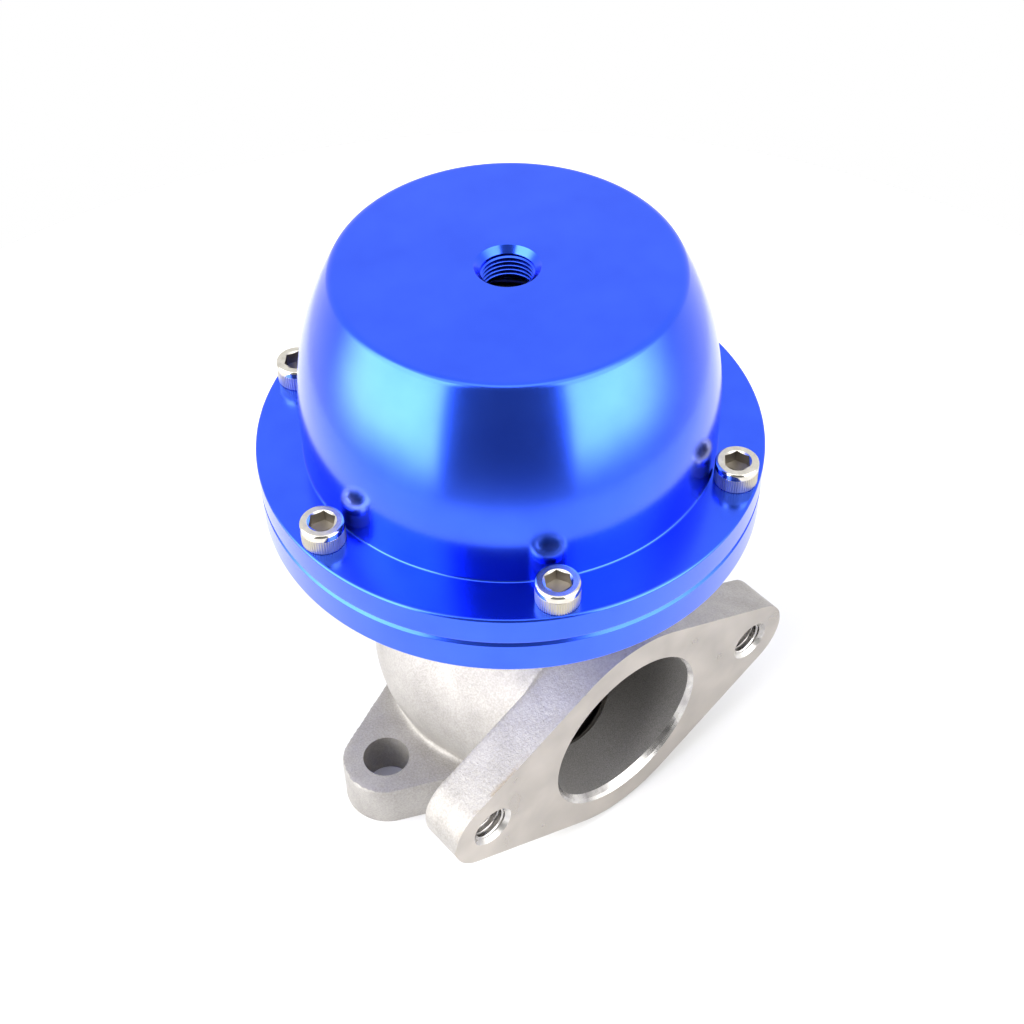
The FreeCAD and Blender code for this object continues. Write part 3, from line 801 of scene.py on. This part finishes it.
def makeBase(size):
    floor = baseBottom + size["floor"]
    rimBottom = seam - size["rimThickness"]
    pan = size["panRadius"]
    clamp = size["clampRadius"]
    chamber = size["chamberRadius"]
    chamfer = size["topChamfer"]
    outline = rounded([
        (size["stemHole"], baseBottom, 0.2),
        (size["footRadius"], baseBottom, 0.4),
        (pan, floor - size["panWall"] / 2, 1.2),
        (pan, rimBottom, 0.4),
        (rimRadius, rimBottom, 0.25),
        (rimRadius, seam - chamfer, 0.15),
        (rimRadius - chamfer, seam, 0.12),
        (clamp, seam, 0.1),
        (clamp, seam - size["clampDepth"]),
        (chamber, seam - size["clampDepth"], 0.3),
        (chamber, floor, 1.5),
        (size["sealRadius"], floor, 0.15),
        (size["sealRadius"], floor - size["sealDepth"]),
        (size["stemHole"], floor - size["sealDepth"], 0.15),
    ])
    base = lathe("base_ring", heldFlat(outline), 320, None, blue)

    # The tapped boost port in its boss at the back
    outward = sideways(seam - size["portBelowSeam"], -90)
    spot = rimRadius - size["portSpot"]
    boss = rod("boss", size["portBoss"], chamber + 0.6, rimRadius, place=outward, material=blue)
    envelope = rod("envelope", rimRadius, baseBottom + 0.001, seam - size["clampDepth"], segments=320)
    combine(boss, [envelope], "INTERSECT")
    combine(base, [boss], "UNION")
    port = size["portRadius"]
    mouth = port + 0.5
    deep = spot - size["portDepth"]
    cuts = [
        lathe("port", [(0, deep), (port, deep), (port, spot - 0.5),
                       (mouth, spot), (mouth, spot + 1), (0, spot + 1)], 96, outward, blue),
        rod("passage", size["portPassage"], 30, spot, place=outward, material=blue),
        rod("spot", size["portBoss"], spot, spot + 2, place=outward, material=blue),
    ]
    cuts += holeRing(6, capSize["screwCircle"], capSize["turn"], size["capScrewHole"],
                     rimBottom - 1, seam + 1, blue)
    sink, hole = size["screwHead"], size["screwHole"]
    for x, y in ringPlaces(4, valveBody["baseScrewCircle"], 45):
        cuts.append(lathe("sink", [
            (0, baseBottom - 1), (hole, baseBottom - 1), (hole, floor - sink + hole), (sink, floor),
            (sink + 1, floor + 1), (0, floor + 1),
        ], 48, Matrix.Translation((x, y, 0)), blue))
    combine(base, cuts, "DIFFERENCE")
    return shade(base, 30)


base = makeBase(baseSize)
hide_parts("actuator_base")
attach(base, "housing")
print("base turned,", len(base.data.polygons), "faces")


# Geometry Nodes: one tree for each thing that repeats or winds

class NodeTree(Nodes):
    def __init__(self, name, numbers, **others):
        super().__init__(bpy.data.node_groups.new(name, "GeometryNodeTree"))
        face = self.tree.interface
        for way in ("INPUT", "OUTPUT"):
            face.new_socket("Geometry", in_out=way, socket_type="NodeSocketGeometry")
        self.sockets = {}
        kinds = {**dict.fromkeys(numbers, "Float"), **others, "Material": "Material"}
        for label, kind in kinds.items():
            self.sockets[label] = face.new_socket(label, in_out="INPUT", socket_type="NodeSocket" + kind)
        self.inputs = self.add("NodeGroupInput").outputs
        self.output = self.add("NodeGroupOutput").inputs[0]

    def sweep(self, path, profile):
        return self.add("GeometryNodeCurveToMesh", {
            "Curve": path, "Profile Curve": profile, "Fill Caps": True,
        }).outputs[0]

    def finish(self, geometry, onlyFirst=False):
        # onlyFirst keeps the materials that an instanced mesh has beyond its first one
        real = self.add("GeometryNodeRealizeInstances", {0: geometry})
        paint = self.add("GeometryNodeSetMaterial", {
            "Geometry": real.outputs[0], "Material": self.inputs["Material"]})
        if onlyFirst:
            slot = self.add("GeometryNodeInputMaterialIndex").outputs[0]
            first = self.add("FunctionNodeCompare", {2: slot}, data_type="INT", operation="EQUAL")
            self.feed(paint.inputs["Selection"], first.outputs[0])
        self.feed(self.output, paint.outputs[0])
        return self

    def build(self, name, values):
        # Runs the tree on an empty object and keeps the result as a plain mesh
        piece = addObject(name, bpy.data.meshes.new(name))
        modifier = piece.modifiers.new("nodes", "NODES")
        modifier.node_group = self.tree
        for label, value in values.items():
            modifier[self.sockets[label].identifier] = value
        return bake(piece)


def coilTree():
    # A round wire wound on a cylinder, its ends ground flat on both seats
    tree = NodeTree("coilSpring", ("Radius", "Wire", "Turns", "Foot", "Roof"), LeftHanded="Bool")
    inputs = tree.inputs
    foot, roof, radius = inputs["Foot"], inputs["Roof"], inputs["Radius"]
    length = tree.math("SUBTRACT", roof, foot)
    tail = tree.math("DIVIDE", inputs["Wire"], 4)
    overall = tree.math("ADD", length, tree.math("MULTIPLY", tail, 2))
    turns = tree.math("DIVIDE", tree.math("MULTIPLY", inputs["Turns"], overall), length)
    spiral = tree.add("GeometryNodeCurveSpiral", {
        "Resolution": 64, "Rotations": turns, "Start Radius": radius, "End Radius": radius,
        "Height": overall, "Reverse": inputs["LeftHanded"]})
    section = tree.add("GeometryNodeCurvePrimitiveCircle", {
        "Resolution": 28, "Radius": tree.math("DIVIDE", inputs["Wire"], 2)})
    lift = tree.add("GeometryNodeTransform", {
        "Geometry": tree.sweep(spiral.outputs[0], section.outputs[0]),
        "Translation": tree.vector(z=tree.math("SUBTRACT", foot, tail))})
    x, y, z = tree.split(tree.add("GeometryNodeInputPosition").outputs[0])
    ground = tree.math("MAXIMUM", tree.math("MINIMUM", z, roof), foot)
    move = tree.add("GeometryNodeSetPosition", {
        "Geometry": lift.outputs[0], "Position": tree.vector(x, y, ground)})
    return tree.finish(move.outputs[0])


def threadTree():
    # A helical ridge that stands inwards from the wall of a tapped hole, along local Z
    tree = NodeTree("tappedThread", ("Radius", "Pitch", "Depth", "Length"))
    inputs = tree.inputs
    pitch, length, radius = inputs["Pitch"], inputs["Length"], inputs["Radius"]
    spiral = tree.add("GeometryNodeCurveSpiral", {
        "Resolution": 40, "Rotations": tree.math("DIVIDE", length, pitch),
        "Start Radius": radius, "End Radius": radius, "Height": length})
    upright = tree.add("GeometryNodeSetCurveNormal", {0: spiral.outputs[0]}, mode="Z_UP")
    ridge = tree.add("GeometryNodeCurvePrimitiveQuadrilateral", {
        "Bottom Width": tree.math("MULTIPLY", pitch, 0.92), "Top Width": tree.math("MULTIPLY", pitch, 0.16),
        "Height": inputs["Depth"], "Offset": 0}, mode="TRAPEZOID")
    turn = tree.add("GeometryNodeTransform", {
        "Geometry": ridge.outputs[0], "Rotation": (0, 0, math.radians(-90))})
    return tree.finish(tree.sweep(upright.outputs[0], turn.outputs[0]))


def screwTree(spins):
    # Knurls round a screw's head, and the whole screw repeated on a circle
    tree = NodeTree("screwRing", ("Knurl Radius", "Circle", "Turn", "Height"),
                    Screw="Object", Knurl="Object", Knurls="Int", Screws="Int", Seed="Int")
    inputs = tree.inputs

    def shapeOf(label):
        return tree.add("GeometryNodeObjectInfo", {"Object": inputs[label]}).outputs["Geometry"]

    def onCircle(count, radius, geometry, spin=0.0):
        circle = tree.add("GeometryNodeMeshCircle", {"Vertices": count, "Radius": radius})
        index = tree.add("GeometryNodeInputIndex").outputs[0]
        angle = tree.math("MULTIPLY", index, tree.math("DIVIDE", 2 * math.pi, count))
        return tree.add("GeometryNodeInstanceOnPoints", {
            "Points": circle.outputs[0], "Instance": geometry,
            "Rotation": tree.vector(z=tree.math("ADD", angle, spin)),
        }).outputs[0]

    whole = tree.add("GeometryNodeJoinGeometry", {0: shapeOf("Screw")})
    tree.feed(whole.inputs[0], onCircle(inputs["Knurls"], inputs["Knurl Radius"], shapeOf("Knurl")))
    random = tree.add("FunctionNodeRandomValue", {
        2: math.radians(spins[0]), 3: math.radians(spins[1]), "Seed": inputs["Seed"]}, data_type="FLOAT")
    place = tree.add("GeometryNodeTransform", {
        "Geometry": onCircle(inputs["Screws"], inputs["Circle"], whole.outputs[0], random.outputs[1]),
        "Rotation": tree.vector(z=inputs["Turn"]), "Translation": tree.vector(z=inputs["Height"])})
    return tree.finish(place.outputs[0], onlyFirst=True)


screwSize = {
    "count": 6,
    "headRadius": 4.25,
    "headHeight": 4.9,
    "topRound": 0.55,
    "knurls": 54,
    "knurlDepth": 0.12,
    "knurlLow": 0.12,
    "knurlHigh": 3.1,
    "key": 4.7,
    "keyChamfer": 0.1,
    "keySlope": 0.5,
    "keyDepth": 2.6,
    "shankRadius": 2.45,
    "tipChamfer": 0.6,
    "length": 12.0,
    "spins": (15, 25),
    "seed": 7,
}


def screwBlank(size):
    head = size["headRadius"]
    top = size["headHeight"]
    core = head - size["knurlDepth"]
    shank = size["shankRadius"]
    tip = size["tipChamfer"]
    end = -size["length"]
    outline = rounded([
        (0, end),
        (shank - tip, end),
        (shank, tip + end),
        (shank, 0),
        (core - 0.15, 0, 0.1),
        (core, 0.2),
        (core, size["knurlHigh"]),
        (head, size["knurlHigh"] + 0.25, 0.1),
        (head, top, size["topRound"]),
        (0, top),
    ], 6)
    blank = lathe("screwBlank", heldFlat(outline), 96, None, screwNickel)
    floor = top - size["keyDepth"]
    half = size["key"] / 2
    corner = size["key"] / math.sqrt(3)
    wide = corner + size["keyChamfer"]
    low = top - (wide - half) * size["keySlope"]
    combine(blank, [
        prism("socket", arcPoints((0, 0), corner, 30, 330, 5), floor, top + 1, None, socketShade),
        lathe("point", [(0, floor - half / 3), (half, floor), (0, floor + 0.2)], 48, None, socketShade),
        lathe("mouth", [(0, low), (half, low), (wide, top), (wide, top + 0.5), (0, top + 0.5)],
              72, None, screwNickel),
    ], "DIFFERENCE")
    return shade(blank, 22)


def makeCapScrews(size):
    deep = size["knurlDepth"]
    side = math.pi * size["headRadius"] / size["knurls"]
    flank = (deep * 0.75, side * 0.45)
    across = [(-0.1, -side), (flank[0], -flank[1]), (deep, 0), flank, (-0.1, side)]
    screw = screwBlank(size)
    knurl = prism("knurl", across, size["knurlLow"], size["knurlHigh"] + 0.1, None, screwNickel)
    screws = screwTree(size["spins"]).build("cap_screws", {
        "Screw": screw,
        "Knurl": shade(knurl, 50),
        "Knurls": size["knurls"],
        "Knurl Radius": (size["headRadius"] - deep) * mm,
        "Screws": size["count"],
        "Circle": capSize["screwCircle"] * mm,
        "Turn": math.radians(capSize["turn"]),
        "Height": capFlangeTop * mm,
        "Seed": size["seed"],
        "Material": screwNickel,
    })
    bpy.data.objects.remove(screw)
    bpy.data.objects.remove(knurl)
    return screws


screws = makeCapScrews(screwSize)
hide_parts(*["cap_screw_%d" % number for number in range(1, 7)])
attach(screws, "housing")
print("cap screws set,", len(screws.data.polygons), "faces")

boltThread = {"radius": 4.0, "pitch": 1.25, "depth": 0.68, "start": 27.6, "length": 9.6,
              "material": tappedSteel, "slot": "cast_stainless", "place": sideways(outletHeight, 90)}
portThread = {"radius": 5.1, "pitch": 0.94, "depth": 0.62, "material": blue, "slot": "blue_anodised", "x": 0}
threadSizes = {
    "outlet_thread_left": dict(boltThread, x=-37.75),
    "outlet_thread_right": dict(boltThread, x=37.75),
    "top_port_thread": dict(portThread, start=124.4, length=5.0, place=Matrix.Identity(4)),
    "boost_port_thread": dict(portThread, start=42.6, length=6.6,
                              place=sideways(seam - baseSize["portBelowSeam"], -90)),
}


def makeThreads():
    tree = threadTree()
    for name, size in threadSizes.items():
        lengths = {label: size[label.lower()] * mm for label in ("Radius", "Pitch", "Depth", "Length")}
        thread = tree.build(name, {**lengths, "Material": size["material"]})
        place = size["place"] @ Matrix.Translation((size["x"], 0, size["start"]))
        place.translation *= mm
        thread.data.transform(place)
        shade(thread, 30)
        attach(thread, "housing")


makeThreads()
print("threads cut")

springSizes = {
    "outer_coil": {"node": "outer_spring", "radius": 26.05, "wire": 3.4, "turns": 5.5, "left": False},
    "inner_coil": {"node": "inner_spring", "radius": 16.5, "wire": 2.8, "turns": 6.5, "left": True},
}
springLook = dict(mouthLook, shadow=(0.16, 0.16, 0.17), bright=(0.30, 0.30, 0.31), gloss=(0.34, 0.46),
                  ringDepth=0.0006, grainDepth=0.006)
springSteel = machinedSteel("springSteel", springLook)


def makeSprings():
    tree = coilTree()
    for name, size in springSizes.items():
        coil = tree.build(name, {
            "Radius": size["radius"] * mm,
            "Wire": size["wire"] * mm,
            "Turns": size["turns"],
            "Foot": springFoot * mm,
            "Roof": capRoof * mm,
            "LeftHanded": size["left"],
            "Material": springSteel,
        })
        shade(coil, 40)
        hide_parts(size["node"])
        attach(coil, "housing")
        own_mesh(coil)


makeSprings()
print("springs wound")


# Diaphragm: a thin rubber ring with one roll, in the imported part's shape

rubberLook = {"shadow": (0.012, 0.012, 0.013), "bright": (0.028, 0.027, 0.027), "cloud": 4.0, "grain": 0.35,
              "grainDepth": 0.02, "gloss": (0.55, 0.72)}
rubber = cloudySkin("rollRubber", rubberLook, Specular_IOR_Level=0.4)


def makeDiaphragm():
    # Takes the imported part's shape, with its doubled points merged
    node = nodes["diaphragm"]
    mesh = node.data.copy()
    piece = addObject("rolled_diaphragm", mesh)
    mesh.transform(node.matrix_world)
    shape = bmesh.new()
    shape.from_mesh(mesh)
    bmesh.ops.remove_doubles(shape, verts=shape.verts, dist=1e-6)
    bmesh.ops.recalc_face_normals(shape, faces=shape.faces)
    shape.to_mesh(mesh)
    shape.free()
    mesh.materials.clear()
    mesh.materials.append(rubber)
    return shade(piece, 30)


diaphragm = makeDiaphragm()
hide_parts("diaphragm")
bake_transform(diaphragm)


# The other pieces keep their machined shape and take a material

metals = {
    # Shadow, bright, pitch of the tool marks
    "seatSteel": ((0.12, 0.115, 0.11), (0.24, 0.23, 0.22), 0.2),
    "valveSteel": ((0.09, 0.085, 0.08), (0.20, 0.19, 0.18), 0.25),
    "guideBronze": ((0.46, 0.27, 0.11), (0.62, 0.38, 0.17), 0.2),
    "plateAluminium": ((0.66, 0.67, 0.69), (0.80, 0.81, 0.83), 0.3),
    "zincSteel": ((0.48, 0.49, 0.51), (0.62, 0.63, 0.66), 0.2),
}
softs = {
    "gasketSheet": {"shadow": (0.045, 0.045, 0.047), "bright": (0.085, 0.083, 0.080), "cloud": 2.0,
                    "grain": 0.3, "grainDepth": 0.03, "gloss": (0.6, 0.8), "shine": 0.3},
    "sealPolymer": {"shadow": (0.20, 0.085, 0.035), "bright": (0.28, 0.12, 0.05), "cloud": 3.0,
                    "grain": 0.5, "grainDepth": 0.01, "gloss": (0.35, 0.5), "shine": 0.5},
}
materials = {}
for name, (shadow, bright, pitch) in metals.items():
    materials[name] = machinedSteel(name, dict(footLook, shadow=shadow, bright=bright, pitch=pitch))
for name, look in softs.items():
    materials[name] = cloudySkin(name, look, Specular_IOR_Level=look["shine"])

finishes = {
    "valve_seat_ring": ("seatSteel", "seat_steel"),
    "valve_guide": ("guideBronze", "guide_bronze"),
    "neck_gasket": ("gasketSheet", "gasket_sheet"),
    "stem_seal": ("sealPolymer", "seal_polymer"),
    "seal_retainer": ("zincSteel", "retainer_steel"),
    "poppet_valve": ("valveSteel", "valve_steel"),
    "diaphragm_plate": ("plateAluminium", "plate_aluminium"),
    "spring_piston": ("plateAluminium", "piston_aluminium"),
    "stem_washer": ("zincSteel", "nut_steel"),
    "stem_nut": ("zincSteel", "nut_steel"),
}
finishes.update({"base_screw_%d" % number: ("zincSteel", "base_screw_steel") for number in range(1, 5)})
for node, (material, slot) in finishes.items():
    nodes[node].data.materials.clear()
    nodes[node].data.materials.append(materials[material])
print("inner pieces finished")


# Floor, lights and camera

studio = {
    "floorRadius": 0.24,
    "floorShade": 0.80,
    "aroundLight": 0.90,
    "farLight": 1.05,
    "farStart": (80, 130),
    "darkLight": 0.24,
    "cameraSide": 230.5,
    # Spans run across from the camera's side and the rest above the floor, all in degrees
    "left": {"sign": -1, "span": (33.5, 37.5, 80.0, 110.0), "foot": (-30.0, -5.0), "fade": 0.12, "light": 6.0},
    "right": {"sign": 1, "span": (29.0, 33.0, 60.0, 103.0), "foot": (-26.0, -1.0), "fade": 0.38, "light": 5.6},
    "boxHead": (50.0, 62.0),
    "boxWaist": (8.0, 22.0),
    "gapFoot": (-42.0, -8.0),
    "gapHead": (64.0, 76.0),
    "aboveStart": (46.0, 66.0),
    "aboveLight": 2.4,
}
view = {
    "turn": -39.51,
    "rise": 46.48,
    "roll": -0.928,
    "spot": (-154.76, -187.81, 321.60),
    "focus": 1668.4,  # in pixels of a picture 1024 wide
    "sensor": 36,
}


def makeFloor(size):
    recipe = Recipe("paleFloor")
    cloud = recipe.noise(60.0, detail=1.0)
    pale = size["floorShade"]
    recipe.colour(cloud, (pale,) * 3, (pale * 0.985,) * 3)
    recipe.rough(cloud, 0.85, 0.9)
    recipe.set(Specular_IOR_Level=0.1)
    shape = bmesh.new()
    bmesh.ops.create_circle(shape, cap_ends=True, segments=128, radius=size["floorRadius"] / mm)
    floor = meshFrom("paper_floor", shape, Matrix.Translation((0, 0, -0.05)), recipe.material)


def makeWorld(size):
    # A bright room with a dark gap behind the camera and a tall soft box on each side of it
    world = bpy.data.worlds.new("studioWorld")
    scene.world = world
    world.use_nodes = True
    world.node_tree.nodes.clear()
    tree = Nodes(world.node_tree)

    def times(first, second):
        return tree.math("MULTIPLY", first, second)

    def without(value):
        return tree.math("SUBTRACT", 1.0, value)

    def step(value, low, high):
        return tree.ramp(value, low, high, interpolation_type="SMOOTHSTEP")

    def between(value, start, end):
        return times(step(value, *start), without(step(value, *end)))

    around = tree.add("ShaderNodeTexCoord").outputs["Generated"]
    turned = tree.add("ShaderNodeMapping", {
        "Rotation": (0, 0, -math.radians(size["cameraSide"])), "Vector": around})
    x, y, z = tree.split(turned.outputs[0])
    aside = times(tree.math("ARCTAN2", y, x), 180 / math.pi)
    rise = times(tree.math("ARCSINE", z), 180 / math.pi)

    far = step(tree.math("ABSOLUTE", aside), *size["farStart"])
    above = times(step(rise, *size["aboveStart"]), without(far))
    level = tree.mixed(far, size["aroundLight"], size["farLight"])
    level = tree.mixed(above, level, size["aboveLight"])
    right = without(step(aside, *size["right"]["span"][:2]))
    left = without(step(times(aside, -1), *size["left"]["span"][:2]))
    gap = times(times(left, right), between(rise, size["gapFoot"], size["gapHead"]))
    level = tree.mixed(gap, level, size["darkLight"])
    for box in (size["left"], size["right"]):
        tall = between(rise, box["foot"], size["boxHead"])
        fade = times(step(rise, *size["boxWaist"]), box["fade"])
        wide = between(times(aside, box["sign"]), box["span"][:2], box["span"][2:])
        glow = times(times(wide, times(tall, without(fade))), box["light"])
        level = tree.math("ADD", level, glow)

    seen = tree.add("ShaderNodeLightPath").outputs["Is Camera Ray"]
    light = tree.add("ShaderNodeBackground", {
        "Color": (1, 1, 1, 1), "Strength": tree.mixed(seen, level, 1.0)})
    tree.add("ShaderNodeOutputWorld", {"Surface": light.outputs[0]})


def makeCamera(size):
    data = bpy.data.cameras.new("photoCamera")
    data.sensor_width = size["sensor"]
    data.lens = size["focus"] * size["sensor"] / 1024
    data.clip_start = 0.01
    camera = addObject("photoCamera", data)
    place = Matrix.Translation(Vector(size["spot"]) * mm)
    for axis, degrees in (("Z", size["turn"]), ("X", 90 - size["rise"]), ("Z", size["roll"])):
        place @= Matrix.Rotation(math.radians(degrees), 4, axis)
    camera.matrix_world = place
    scene.camera = camera


makeFloor(studio)
makeWorld(studio)
makeCamera(view)
scene.view_settings.view_transform = "Standard"
print("studio ready")
